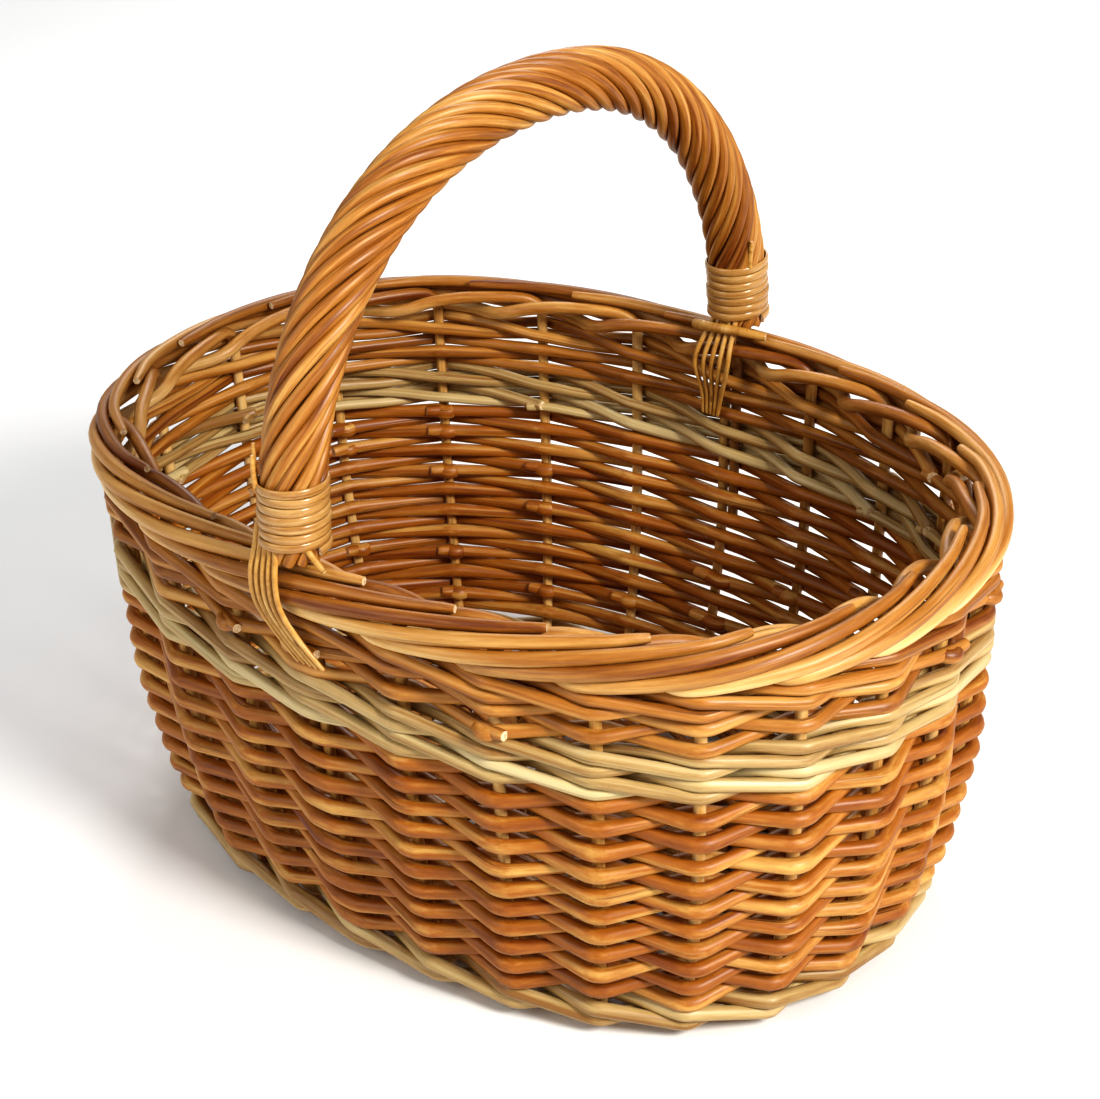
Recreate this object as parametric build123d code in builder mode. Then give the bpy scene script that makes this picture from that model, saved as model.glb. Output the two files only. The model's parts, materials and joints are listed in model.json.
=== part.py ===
from build123d import *
import math
import os

# Oval willow egg collection basket. Millimetres, +Z up, long axis along X.
# The origin is on the floor, under the middle of the basket.
# Every rod is a real rod: it bends round its neighbours and touches none of them.

os.makedirs("parts", exist_ok=True)

# Driving dimensions
rim_half_length = 197.7     # stake line at the rim, along X
rim_half_width = 139.2      # stake line at the rim, along Y
base_half_length = 173.6    # stake line at the base edge, along X
base_half_width = 118.5     # stake line at the base edge, along Y
oval_power = 2.4            # 2 is an ellipse, more is squarer
flare_power = 3.0           # how early the wall turns upright

stake_count = 24
stake_d = 5.4
first_stake_at = 6.0        # from the middle of the near side, towards +X
crowding = 0.17             # stakes stand closer on one quarter of the oval
crowded_stake = 5.0         # the stake in the middle of that quarter
handle_stakes = (0, 13)     # the stakes that the handle's ends go in beside

stick_d = 6.5
short_sticks = 8
long_sticks = 4
short_stick_gap = 19.0      # between short sticks, where the long sticks cross
split_gap = 0.2             # air round a long stick in the split
split_wall = 3.0            # wood left above and below a long stick
slath_margin = 4.0          # from the long sticks to the end of a split
stick_end_in = 14.6         # from the base edge to the end of a stick
stake_tail = 31.0           # how far a stake is pushed into the base
stick_straight = 36.0       # where a stick turns towards the middle

weave_gap = 0.75            # air between a weaver and what it passes
stack_gap = 0.3             # air between one row and the next
butt_gap = 0.6              # air between the two ends of one weaver
crossing_gap = 0.65         # air where two strands of a wale cross

base_rod_d = 4.4
base_rows_outer = 3
base_rows_inner = 8
base_inner_rod_d = 3.8
base_row_start = 15.5       # from the base edge to the outermost row
base_row_pitch = 5.2
grouped_rows = 5            # inner rows that pass the long sticks as one bundle
bundle_margin = 2.5
level_run = 2.4             # half the level part of a weaver over a stick
inner_rows_short = 1.7      # rows' worth of room left open round the crossing

lower_rows = 20
lower_rod_d = 5.1
lower_row_gap = 0.35        # air between two siding rows where they cross
upper_rows = 3
upper_rod_d = 4.6
upsett_rod_d = 4.5
mid_wale_rounds = 2
mid_wale_rod_d = 4.5
top_wale_rod_d = 5.0
upsett_above_base = 8.0
border_gap = 0.2            # air between the border's rods

bow_d = 16.0                # core of the handle
bow_rise = 145.0            # from the foot of the bow to its top
bow_power = 2.2
bow_out = -0.4              # the middle of the bow's foot, out of the stake line
bow_first_turn = 0.2        # where the bow's straight foot ends
bow_steps = 20
peg_d = 4.8                 # whittled end of the bow, down in the weave
peg_gap = 1.3               # air between the peg and its stake, along the wall
peg_kink = 7.0              # below the border's height, where the peg joins the stake line
peg_in_bow = 6.0
peg_depth = 86.0            # how deep the peg goes below the border
roping_rods = 12
roping_rod_d = 4.5
roping_turns = 3.6
roping_gap = 0.7
roping_steps = 44
roping_inset = 2.0          # from the bow's foot to the roping's end
binding_turns = 7
binding_gap = 0.5
cane_width = 3.3
cane_thickness = 1.3
tail_count = 5
tail_d = 2.2

# Bends
weave_bend = 5.0
stake_foot_bend = 12.0
stake_wall_bend = 60.0
stake_top_bend = 7.0
border_bend = 8.0
stick_bend = 12.0
inner_bend = 3.5
bow_bend = 60.0
peg_bend = 8.0
roping_bend = 15.0
tail_bend = 5.0

# Worked out from the sizes above
base_reach = (stick_d + base_rod_d) / 2 + weave_gap
base_z = base_reach + base_rod_d / 2
lower_pitch = lower_rod_d + lower_row_gap
upper_pitch = upper_rod_d + stack_gap
border_step = stake_d + border_gap
border_drop = 0.804 * border_step       # the border's lowest rod line below its own height
border_rise = 2.0 * border_step         # and its highest above
stake_top_rise = 0.804 * border_step    # where a stake bends over into the border
peg_from_stake = (stake_d + peg_d) / 2 + peg_gap
peg_out = -1.036 * border_step          # where the peg passes the border's rods


def oval_point(half_length, half_width, turn):
    """A point on the oval, by its turn from +X."""
    c, s = math.cos(turn), math.sin(turn)
    power = 2 / oval_power
    return (half_length * math.copysign(abs(c) ** power, c), half_width * math.copysign(abs(s) ** power, s))


def stake_turns():
    """The turn of each stake, spaced along the rim from the near side round by +X."""
    steps = 3600
    turns = [-math.pi / 2 + 2 * math.pi * step / steps for step in range(steps + 1)]
    along = [0.0]
    points = [oval_point(rim_half_length, rim_half_width, turn) for turn in turns]
    for a, b in zip(points, points[1:]):
        along.append(along[-1] + math.dist(a, b))
    found = []
    for i in range(stake_count):
        wave = math.sin(2 * math.pi * (i - crowded_stake) / stake_count)
        wave += math.sin(2 * math.pi * crowded_stake / stake_count)
        share = i / stake_count - crowding / (2 * math.pi) * wave
        goal = first_stake_at + share * along[-1]
        step = next(k for k, length in enumerate(along) if length >= goal)
        found.append(turns[step])
    return found


turns = stake_turns()
rim_points = [oval_point(rim_half_length, rim_half_width, turn) for turn in turns]
edge_points = [oval_point(base_half_length, base_half_width, turn) for turn in turns]


# Heights of the rows, each stacked on the one below
upsett_z = base_z + upsett_above_base
wale_round = 2 * (mid_wale_rod_d + crossing_gap) + stack_gap
lower_start = upsett_z + upsett_rod_d + lower_rod_d / 2 + crossing_gap
lower_z = [lower_start + row * lower_pitch for row in range(lower_rows)]
mid_wale_bottom = lower_z[-1] + lower_rod_d / 2 + stack_gap
mid_wale_z = [mid_wale_bottom + wale_round * (turn + 0.5) for turn in range(mid_wale_rounds)]
upper_start = mid_wale_z[-1] + wale_round / 2 + upper_rod_d / 2 + stack_gap
upper_z = [upper_start + row * upper_pitch for row in range(upper_rows)]
top_wale_z = upper_z[-1] + upper_rod_d / 2 + top_wale_rod_d + stack_gap + crossing_gap
border_z = top_wale_z + top_wale_rod_d + border_drop + stake_d / 2 + 2 * stack_gap
border_top = border_z + border_rise + stake_d / 2

# The wall is straight between these heights, as the stakes are
wall_heights = [base_z, base_z + 32.0, base_z + 82.0, border_z]


def flare(z):
    """How far the wall has moved from the base edge to the rim, 0 to 1."""
    share = (z - base_z) / (border_z - base_z)
    return 1 - (1 - share) ** flare_power


def wall_share(z):
    """The same along the straight runs, and straight on past both ends."""
    run = 0
    while run < len(wall_heights) - 2 and z > wall_heights[run + 1]:
        run += 1
    low, high = wall_heights[run], wall_heights[run + 1]
    share = (z - low) / (high - low)
    return flare(low) + (flare(high) - flare(low)) * share


def mix(a, b, share):
    """The point a share of the way from a to b."""
    return tuple(p + (q - p) * share for p, q in zip(a, b))


def outward(i):
    """The level direction that points out of the wall at stake i."""
    before = rim_points[(i - 1) % stake_count]
    after = rim_points[(i + 1) % stake_count]
    x, y = after[0] - before[0], after[1] - before[1]
    length = math.hypot(x, y)
    return (y / length, -x / length)


def stake_point(i, z, out=0.0, along=0.0):
    """A point by stake i at height z, moved out of the wall and counter-clockwise along it."""
    x, y = mix(edge_points[i], rim_points[i], wall_share(z))
    n = outward(i)
    return (x + n[0] * out - n[1] * along, y + n[1] * out + n[0] * along, z)


def wall_point(place, z, out):
    """A point on the wall at a place that may lie between two stakes."""
    i = math.floor(place)
    before = stake_point(i % stake_count, z, out)
    after = stake_point((i + 1) % stake_count, z, out)
    return mix(before, after, place - i)


def wall_tilt(i, z):
    """How far the wall leans out from upright at stake i, in radians."""
    low, high = stake_point(i, z - 1.0), stake_point(i, z + 1.0)
    return math.atan2(math.dist(low[:2], high[:2]), high[2] - low[2])


def weave_point(place, i, z, out, up):
    """A point moved out of the leaning wall and up along it, with stake i's lean."""
    tilt = wall_tilt(i, z)
    level = out * math.cos(tilt) + up * math.sin(tilt)
    rise = up * math.cos(tilt) - out * math.sin(tilt)
    x, y, _ = wall_point(place, z, level)
    return (x, y, z + rise)


def peg_place(i):
    """The place of the handle's peg, just before stake i."""
    gap = math.dist(rim_points[i - 1], rim_points[i])
    return i - peg_from_stake / gap


def places_at(i):
    """The places where a weaver passes stake i: two where a peg stands beside it."""
    return [peg_place(i), i] if i in handle_stakes else [i]


def bent_rod(points, bends, diameter):
    """A round rod along straight runs joined by tangent arcs."""
    with BuildPart() as rod:
        with BuildLine() as path:
            FilletPolyline(*points, radius=bends)
        with BuildSketch(Plane(origin=path.line @ 0, z_dir=path.line % 0)):
            Circle(diameter / 2)
        sweep()
    return rod.part


def write(name, *solids):
    """Writes one node, of one solid or of a group of separate ones."""
    piece = solids[0] if len(solids) == 1 else Compound(children=list(solids))
    piece.label = name
    export_step(piece, f"parts/{name}.step")


# Weavers of the wall
def randing_row(z, diameter, parity):
    """The line of one weaver that goes outside and inside the stakes in turn."""
    reach = (stake_d + diameter) / 2 + weave_gap
    points = []
    for i in range(stake_count):
        side = 1 if (i + parity) % 2 == 0 else -1
        points += [weave_point(place, i, z, side * reach, 0.0) for place in places_at(i)]
    return points


def wale_strand(first, z, diameter):
    """The line of one of three strands: in front of two stakes, then behind one.

    At its first stake outside it lies above the next strand, and at its second below.
    """
    reach = (stake_d + diameter) / 2 + weave_gap
    half = (diameter + stack_gap) / 2
    at_stake = [(-reach, 0.0), (reach, half), (reach, -half)]
    after_stake = [(0.0, half + crossing_gap), (reach, 0.0), (0.0, -half - crossing_gap)]
    points = []
    for i in range(stake_count):
        step = (i - first) % 3
        points += [weave_point(place, i, z, *at_stake[step]) for place in places_at(i)]
        next_place = i + 1 - (i + 1) % stake_count + places_at((i + 1) % stake_count)[0]
        points.append(weave_point((i + next_place) / 2, i, z, *after_stake[step]))
    return points


def weaver(points, diameter, bend=weave_bend):
    """A rod right round the basket, whose two cut ends butt together."""
    joint = mix(points[-1], points[0], 0.5)
    end = mix(joint, points[-1], butt_gap / math.dist(joint, points[-1]))
    return bent_rod([joint] + points + [end], bend, diameter)


def make_wall_weave():
    for first in range(3):
        strand = wale_strand(first, upsett_z, upsett_rod_d)
        write(f"upsett_wale_rod_{first + 1}", weaver(strand, upsett_rod_d))
    for row, z in enumerate(lower_z):
        line = randing_row(z, lower_rod_d, row)
        write(f"lower_siding_row_{row + 1:02d}", weaver(line, lower_rod_d))
    for turn, z in enumerate(mid_wale_z):
        for first in range(3):
            strand = wale_strand(first, z, mid_wale_rod_d)
            write(f"white_wale_{turn + 1}_rod_{first + 1}", weaver(strand, mid_wale_rod_d))
    for row, z in enumerate(upper_z):
        line = randing_row(z, upper_rod_d, row)
        write(f"upper_siding_row_{row + 1}", weaver(line, upper_rod_d))
    for first in range(3):
        strand = wale_strand(first, top_wale_z, top_wale_rod_d)
        write(f"top_wale_rod_{first + 1}", weaver(strand, top_wale_rod_d))


# Stakes, whose tops are laid down to make the rolled border
border_line = [
    # stakes travelled, out of the stake line, up from the border's own height
    (0.5, -1.518 * border_step, 1.25 * border_step),
    (1.0, -2.232 * border_step, 0.893 * border_step),
    (1.35, -1.964 * border_step, -0.179 * border_step),
    (1.65, 0.714 * border_step, -border_drop),
    (2.0, 1.25 * border_step, -0.715 * border_step),
    (3.0, 1.696 * border_step, 0.357 * border_step),
    (4.0, 1.161 * border_step, 1.429 * border_step),
    (5.0, 0.0, 1.875 * border_step),
    (5.6, -0.804 * border_step, border_rise),
]


def stake_line(i):
    """Along the base, up the wall and round the border."""
    points = [spoke_point(i, stake_tail)]
    bends = [stake_foot_bend, stake_wall_bend, stake_wall_bend, stake_top_bend]
    points += [stake_point(i, z) for z in wall_heights[:-1]]
    points.append(stake_point(i, border_z + stake_top_rise))
    for travelled, out, up in border_line:
        points.append(wall_point(i + travelled, border_z + up, out)[:2] + (border_z + up,))
    return points, bends + [border_bend] * (len(border_line) - 1)


def make_stakes():
    stakes = []
    for i in range(stake_count):
        points, bends = stake_line(i)
        stakes.append(bent_rod(points, bends, stake_d))
    write("side_stakes", *stakes)


# Base: short sticks split over long ones, with rows of weaving round them
# The two edge strands: out of the stake line, and up from the sticks' height
edge_below = (-4.0, base_rod_d / 2 - base_z)
edge_above = (-10.0, base_reach)
edge_rising = (-1.3, -0.4)
edge_falling = (-8.1, -0.4)


def near_and_far(first_near, first_far, count):
    """Pairs of stakes that the two ends of each stick point to."""
    return [((first_near + k) % stake_count, (first_far - k) % stake_count) for k in range(count)]


short_ends = near_and_far(-3, 16, short_sticks)
long_ends = near_and_far(5, 20, long_sticks)
stick_beside_stake = (stick_d + stake_d) / 2 + 0.4
slath_half_length = (short_sticks / 2) * short_stick_gap + slath_margin
slath_half_width = long_sticks * (stick_d + stack_gap) / 2
slath_y = slath_half_width + slath_margin


def slath_points():
    """Where each stick leaves the crossing at the middle, by the stake its end points to."""
    found = {}
    for k, (near, far) in enumerate(short_ends):
        x = (k - (short_sticks - 1) / 2) * short_stick_gap
        found[near], found[far] = (x, -slath_y, base_z), (x, slath_y, base_z)
    for k, (right, left) in enumerate(long_ends):
        y = (k - (long_sticks - 1) / 2) * (stick_d + stack_gap)
        found[right], found[left] = (slath_half_length, y, base_z), (-slath_half_length, y, base_z)
    return found


slath = slath_points()


def spoke_point(i, inward, along=0.0):
    """A point on the line from the foot of stake i to the crossing, moved along the edge."""
    (x, y), (to_x, to_y, _) = edge_points[i], slath[i]
    length = math.hypot(to_x - x, to_y - y)
    in_x, in_y = (to_x - x) / length, (to_y - y) / length
    return (x + in_x * inward + in_y * along, y + in_y * inward - in_x * along, base_z)


def stick_point(i, inward):
    """A point on the outer part of a stick, which lies beside the stake's tail."""
    return spoke_point(i, inward, -stick_beside_stake)


def stick_line(start, end):
    points = [stick_point(start, stick_end_in), stick_point(start, stick_straight), slath[start]]
    return points + [slath[end], stick_point(end, stick_straight), stick_point(end, stick_end_in)]


def make_long_sticks():
    sticks = [bent_rod(stick_line(left, right), stick_bend, stick_d) for right, left in long_ends]
    write("base_long_sticks", *sticks)


def make_short_sticks():
    split_height = stick_d + 2 * split_gap
    sticks = []
    for k, (near, far) in enumerate(short_ends):
        x = (k - (short_sticks - 1) / 2) * short_stick_gap
        with BuildPart() as stick:
            with BuildLine() as path:
                FilletPolyline(*stick_line(near, far), radius=stick_bend)
            with BuildSketch(Plane(origin=path.line @ 0, z_dir=path.line % 0)):
                Circle(stick_d / 2)
            sweep()
            with BuildSketch(Plane.YZ.offset(x)):
                with Locations((0, base_z)):
                    RectangleRounded(2 * slath_y, split_height + 2 * split_wall, split_wall)
            extrude(amount=stick_d / 2, both=True)
            with BuildSketch(Plane.YZ.offset(x)):
                with Locations((0, base_z)):
                    RectangleRounded(2 * slath_half_width + 1, split_height, split_gap)
            extrude(amount=stick_d, both=True, mode=Mode.SUBTRACT)
        sticks.append(stick.part)
    write("base_short_sticks", *sticks)


def base_row_stations(row):
    """The points beside which a base row passes, and how many belong to one stick or bundle."""
    groups = []
    outer = row < base_rows_outer
    for i in range(stake_count):
        if outer:
            inward = base_row_start + row * base_row_pitch
            stick, stake = stick_point(i, inward), spoke_point(i, inward)
            over = level_run / 2 / stick_beside_stake
            groups.append([mix(stick, stake, -over), mix(stick, stake, 1 + over)])
        else:
            share = (row - base_rows_outer + 0.5) / (base_rows_inner + inner_rows_short)
            groups.append([mix(stick_point(i, stick_straight), slath[i], share)])
    if row >= base_rows_outer + base_rows_inner - grouped_rows:
        ends = [i for pair in long_ends for i in pair]
        bundles = [sorted(pair[side] for pair in long_ends) for side in (0, 1)]
        merged = []
        for i, group in enumerate(groups):
            if i not in ends:
                merged.append(group)
            for bundle in bundles:
                if i == bundle[0]:
                    first, last = groups[bundle[0]][0], groups[bundle[-1]][0]
                    over = bundle_margin / math.dist(first, last)
                    merged.append([mix(first, last, -over), mix(first, last, 1 + over)])
        return merged
    return groups


def base_row(row):
    """The line of one weaver that goes over and under the sticks in turn."""
    groups = base_row_stations(row)
    points = []
    for k, group in enumerate(groups):
        side = 1 if (k + row) % 2 == 0 else -1
        if len(group) == 1:
            before, after = groups[k - 1][-1], groups[(k + 1) % len(groups)][0]
            share = level_run / math.dist(before, after)
            run = [share * (b - a) for a, b in zip(before, after)]
            group = [tuple(c + side_step * r for c, r in zip(group[0], run)) for side_step in (-1, 1)]
        points += [(x, y, z + side * base_reach) for x, y, z in group]
    return points


def edge_strand(first):
    """The line of one of two strands that twist round the stakes at the base edge."""
    points = []
    for i in range(stake_count):
        goes_below = (i + first) % 2 == 0
        out, up = edge_below if goes_below else edge_above
        points.append(stake_point(i, base_z, out)[:2] + (base_z + up,))
        out, up = edge_rising if goes_below else edge_falling
        points.append(wall_point(i + 0.5, base_z, out)[:2] + (base_z + up,))
    return points


def make_base_weave():
    outer = [weaver(base_row(row), base_rod_d) for row in range(base_rows_outer)]
    write("base_weave_outer", *outer)
    last = base_rows_outer + base_rows_inner
    inner = [weaver(base_row(row), base_inner_rod_d, inner_bend) for row in range(base_rows_outer, last)]
    write("base_weave_inner", *inner)
    for first in range(2):
        write(f"base_edge_rod_{first + 1}", weaver(edge_strand(first), base_rod_d))


# Handle: a thick bow with whittled ends, roped with thinner rods and bound with cane
def handle_foot(i):
    """The middle of the bow's foot above the border, beside stake i."""
    return wall_point(peg_place(i), bow_foot_z, bow_out)


bow_foot_z = border_top + 1.0
near_foot, far_foot = handle_foot(handle_stakes[0]), handle_foot(handle_stakes[1])
bow_middle = mix(near_foot, far_foot, 0.5)
bow_half_span = math.dist(near_foot, far_foot) / 2
across = tuple((b - a) / (2 * bow_half_span) for a, b in zip(near_foot, far_foot))
sideways = (across[1], -across[0], 0.0)


def bow_point(turn):
    """A point on the bow's arch, by its turn from the far foot."""
    c, s = math.cos(turn), math.sin(turn)
    power = 2 / bow_power
    level = bow_half_span * math.copysign(abs(c) ** power, c)
    x, y, z = bow_middle
    return (x + across[0] * level, y + across[1] * level, z + bow_rise * abs(s) ** power)


def bow_line():
    """Straight for the length of the bindings, then round the arch."""
    first = bow_first_turn
    steps = bow_steps
    turns_round = [math.pi - first - k * (math.pi - 2 * first) / steps for k in range(steps + 1)]
    return [near_foot] + [bow_point(turn) for turn in turns_round] + [far_foot]


bow_points = bow_line()
bow_lengths = [0.0]
for a, b in zip(bow_points, bow_points[1:]):
    bow_lengths.append(bow_lengths[-1] + math.dist(a, b))


def bow_frame(length):
    """The point at a length along the bow, and the direction out of the arch there."""
    run = 0
    while run < len(bow_lengths) - 2 and length > bow_lengths[run + 1]:
        run += 1
    share = (length - bow_lengths[run]) / (bow_lengths[run + 1] - bow_lengths[run])

    def out_at(k):
        a, b = bow_points[max(k - 1, 0)], bow_points[min(k + 1, len(bow_points) - 1)]
        level = sum((q - p) * d for p, q, d in zip(a, b, across))
        rise, length = b[2] - a[2], math.dist(a, b)
        return tuple(-d * rise / length for d in across[:2]) + (level / length,)

    out = mix(out_at(run), out_at(run + 1), share)
    size = math.hypot(*out)
    return mix(bow_points[run], bow_points[run + 1], share), tuple(d / size for d in out)


def roping_line(rod):
    """One rod wound round the bow from foot to foot."""
    reach = (bow_d + roping_rod_d) / 2 + roping_gap
    points = []
    for step in range(roping_steps + 1):
        share = step / roping_steps
        length = roping_inset + share * (bow_lengths[-1] - 2 * roping_inset)
        middle, out = bow_frame(length)
        angle = 2 * math.pi * (rod / roping_rods + share * roping_turns)
        level, side = reach * math.cos(angle), reach * math.sin(angle)
        points.append(tuple(m + o * level + w * side for m, o, w in zip(middle, out, sideways)))
    return points


def peg_line(i):
    """From inside the bow's foot down through the border and beside stake i."""
    place = peg_place(i)
    low = [z for z in wall_heights if border_z - peg_depth < z < border_z - peg_depth / 3]
    heights = [border_z - peg_kink] + sorted(low, reverse=True) + [border_z - peg_depth]
    top = wall_point(place, bow_foot_z + peg_in_bow, peg_out)
    return [top, wall_point(place, border_z, peg_out)] + [wall_point(place, z, 0.0) for z in heights]


def make_bow():
    with BuildPart() as bow:
        with BuildLine() as arch:
            FilletPolyline(*bow_points, radius=bow_bend)
        with BuildSketch(Plane(origin=arch.line @ 0, z_dir=arch.line % 0)):
            Circle(bow_d / 2)
        sweep()
        for i in handle_stakes:
            with BuildLine() as peg:
                FilletPolyline(*peg_line(i), radius=peg_bend)
            with BuildSketch(Plane(origin=peg.line @ 0, z_dir=peg.line % 0)):
                Circle(peg_d / 2)
            sweep(path=peg.line)
    write("handle_bow", bow.part)


def make_roping():
    rods = [bent_rod(roping_line(rod), roping_bend, roping_rod_d) for rod in range(roping_rods)]
    write("handle_roping", *rods)


def make_binding(name, start, heading):
    """A strip of cane wound round the foot of the handle."""
    radius = bow_d / 2 + roping_rod_d + roping_gap + cane_thickness / 2 + binding_gap
    pitch = cane_width + stack_gap
    z_dir = tuple(q - p for p, q in zip(start, heading))
    axis = Plane(origin=start, x_dir=sideways, z_dir=z_dir).offset(roping_inset + cane_width / 2)
    with BuildPart() as binding:
        with BuildLine(axis) as coil:
            Helix(pitch=pitch, height=pitch * binding_turns, radius=radius)
        with BuildSketch(Plane(origin=coil.line @ 0, x_dir=axis.x_dir, z_dir=coil.line % 0)):
            Rectangle(cane_thickness, cane_width)
        sweep(is_frenet=True)
    write(name, binding.part)


def tail_line(stake, rod, inside):
    """The thin end of a roping rod, down over the border and on to the weave."""
    side = -1 if inside else 1
    spread = rod - (tail_count - 1) / 2
    route = inside_tail if inside else outside_tail
    gap = math.dist(rim_points[stake - 1], rim_points[stake])
    points = []
    for out, up, along, fan in route:
        place = peg_place(stake) + (along + fan * spread * (tail_d + stack_gap)) / gap
        z = border_z + up * border_step
        points.append(wall_point(place, z, side * out * border_step)[:2] + (z,))
    return points


outside_tail = [
    # out of the stake line and up from the border's height, in border steps; along the wall; spread
    (2.25, 2.5, 0.0, 1.2),
    (2.482, 1.429, 0.0, 1.2),
    (2.5, -0.536, 1.5, 1.2),
    (2.107, -2.679, 8.0, 1.2),
    (1.929, -4.286, 15.0, 1.2),
]
inside_tail = [
    (2.357, 2.25, 0.0, 1.2),
    (3.036, 1.429, 1.0, 1.15),
    (3.071, -0.357, 3.0, 1.3),
    (2.25, -2.857, 5.0, 1.1),
    (1.929, -4.821, 7.0, 1.1),
]


def make_tails():
    near = [bent_rod(tail_line(handle_stakes[0], rod, False), tail_bend, tail_d) for rod in range(tail_count)]
    write("near_roping_tails", *near)
    far = [bent_rod(tail_line(handle_stakes[1], rod, True), tail_bend, tail_d) for rod in range(tail_count)]
    write("far_roping_tails", *far)


make_long_sticks()
make_short_sticks()
make_base_weave()
make_stakes()
make_wall_weave()
make_bow()
make_roping()
make_binding("near_binding", bow_points[0], bow_points[1])
make_binding("far_binding", bow_points[-1], bow_points[-2])
make_tails()
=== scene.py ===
"""An oval willow egg basket: woven sides, a rolled border, white wales and a roped bow handle."""
import json
import math
import random

import bmesh
import bpy
from mathutils import Matrix, Vector

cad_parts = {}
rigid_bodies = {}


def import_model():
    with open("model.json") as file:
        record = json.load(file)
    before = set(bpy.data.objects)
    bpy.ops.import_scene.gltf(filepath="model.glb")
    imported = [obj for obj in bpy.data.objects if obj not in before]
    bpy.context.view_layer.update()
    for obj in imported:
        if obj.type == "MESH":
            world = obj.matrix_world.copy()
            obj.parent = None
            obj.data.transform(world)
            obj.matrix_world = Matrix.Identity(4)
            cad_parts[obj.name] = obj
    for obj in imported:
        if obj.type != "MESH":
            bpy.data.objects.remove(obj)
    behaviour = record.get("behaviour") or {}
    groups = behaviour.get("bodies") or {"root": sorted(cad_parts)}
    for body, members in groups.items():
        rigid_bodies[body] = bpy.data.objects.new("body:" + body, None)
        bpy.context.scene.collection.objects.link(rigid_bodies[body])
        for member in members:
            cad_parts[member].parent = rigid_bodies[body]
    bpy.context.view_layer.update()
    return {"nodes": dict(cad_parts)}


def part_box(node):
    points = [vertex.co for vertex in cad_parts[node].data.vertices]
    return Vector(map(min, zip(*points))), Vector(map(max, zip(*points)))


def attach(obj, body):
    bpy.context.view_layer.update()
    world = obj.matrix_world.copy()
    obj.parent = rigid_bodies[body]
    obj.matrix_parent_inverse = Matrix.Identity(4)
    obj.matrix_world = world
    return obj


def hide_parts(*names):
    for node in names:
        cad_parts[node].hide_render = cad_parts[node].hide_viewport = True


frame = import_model()
chance = random.Random(24)

# The oval and its stakes, in metres, the same as the frame's
RIM_HALF_LENGTH = 0.1977
RIM_HALF_WIDTH = 0.1392
BASE_HALF_LENGTH = 0.1736
BASE_HALF_WIDTH = 0.1185
OVAL_POWER = 2.4
FLARE_POWER = 3.0
STAKE_COUNT = 24
FIRST_STAKE_AT = 0.006
CROWDING = 0.17
CROWDED_STAKE = 5.0
HANDLE_STAKES = (0, 13)
PEG_FROM_STAKE = 0.0064
BORDER_RISE = 0.0112
STAKE_D = 0.0054
STAKE_TOP_RISE = 0.0045

# The handle, the same as the frame's
BOW_RISE = 0.145
BOW_POWER = 2.2
BOW_OUT = -0.0004
ROPING_RODS = 12
ROPING_TURNS = 3.6

# Rods as they look: thick at the butt, thin at the tip
BORDER_RADIUS = 0.00298
SIDING_BUTT, SIDING_TIP = 0.0034, 0.0030
TAN_BUTT, TAN_TIP = 0.0031, 0.0027
WALE_BUTT, WALE_TIP = 0.0029, 0.0025
UPSETT_BUTT, UPSETT_TIP = 0.0034, 0.0030
TOP_BUTT, TOP_TIP = 0.003, 0.0026
ROPING_BUTT, ROPING_TIP = 0.00252, 0.00238
KINK = 0.0022               # from a stake to where a weaver leaves it
DROP = 0.0019               # how much lower a siding rod passes outside a stake than inside
CROSSING = 0.86             # a siding rod's thickness where it crosses its neighbours
PRESSED = 0.0008            # how far a siding rod and a stake press into each other
NEARBY = 1.6                # how far past a kink, in kinks, a siding rod is still close to its stake
NEARBY_OUT = 0.82           # the share of its reach from the wall that it still has there
NEARBY_UP = 0.85            # the share of its lift that it still has there
SIDING_START_ON = 0.02      # where a siding rod's ends lie past the kink, in stakes
SIDING_END_ON = 0.12
WALE_END_ON = 0.08
SIDING_START_LOW = 0.0007   # how much lower a siding rod starts, and how much higher it ends, than its row
SIDING_END_HIGH = 0.0009
WALE_END_UP = 0.0008        # the same for a wale rod, higher at its start and lower at its end
POKE = 0.002                # how far a rod's end stands out of its row
TAN_POKE = 0.003
WALE_GAP = 0.0001           # from a wale rod to its stake and to its neighbours
UPSETT_DROP = 0.0018        # how much lower the thick upsett sits than in the frame
ROD_SIDES = 12
CHAMFER = 0.0006
SIDING_ROWS = 20
TAN_ROWS = 3


# The oval

def mix(a, b, share):
    return tuple(p + (q - p) * share for p, q in zip(a, b))


def oval_point(half_length, half_width, turn):
    c, s = math.cos(turn), math.sin(turn)
    power = 2 / OVAL_POWER
    return (half_length * math.copysign(abs(c) ** power, c), half_width * math.copysign(abs(s) ** power, s))


def stake_turns():
    """The turn of each stake, spaced along the rim from the near side round by +X."""
    steps = 3600
    turns = [-math.pi / 2 + 2 * math.pi * step / steps for step in range(steps + 1)]
    points = [oval_point(RIM_HALF_LENGTH, RIM_HALF_WIDTH, turn) for turn in turns]
    along = [0.0]
    for a, b in zip(points, points[1:]):
        along.append(along[-1] + math.dist(a, b))
    found = []
    for i in range(STAKE_COUNT):
        wave = math.sin(2 * math.pi * (i - CROWDED_STAKE) / STAKE_COUNT)
        wave += math.sin(2 * math.pi * CROWDED_STAKE / STAKE_COUNT)
        share = i / STAKE_COUNT - CROWDING / (2 * math.pi) * wave
        goal = FIRST_STAKE_AT + share * along[-1]
        found.append(turns[next(k for k, length in enumerate(along) if length >= goal)])
    return found


TURNS = stake_turns()
RIM = [oval_point(RIM_HALF_LENGTH, RIM_HALF_WIDTH, turn) for turn in TURNS]
EDGE = [oval_point(BASE_HALF_LENGTH, BASE_HALF_WIDTH, turn) for turn in TURNS]


def middle_z(node):
    low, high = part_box(node)
    return (low[2] + high[2]) / 2


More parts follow.
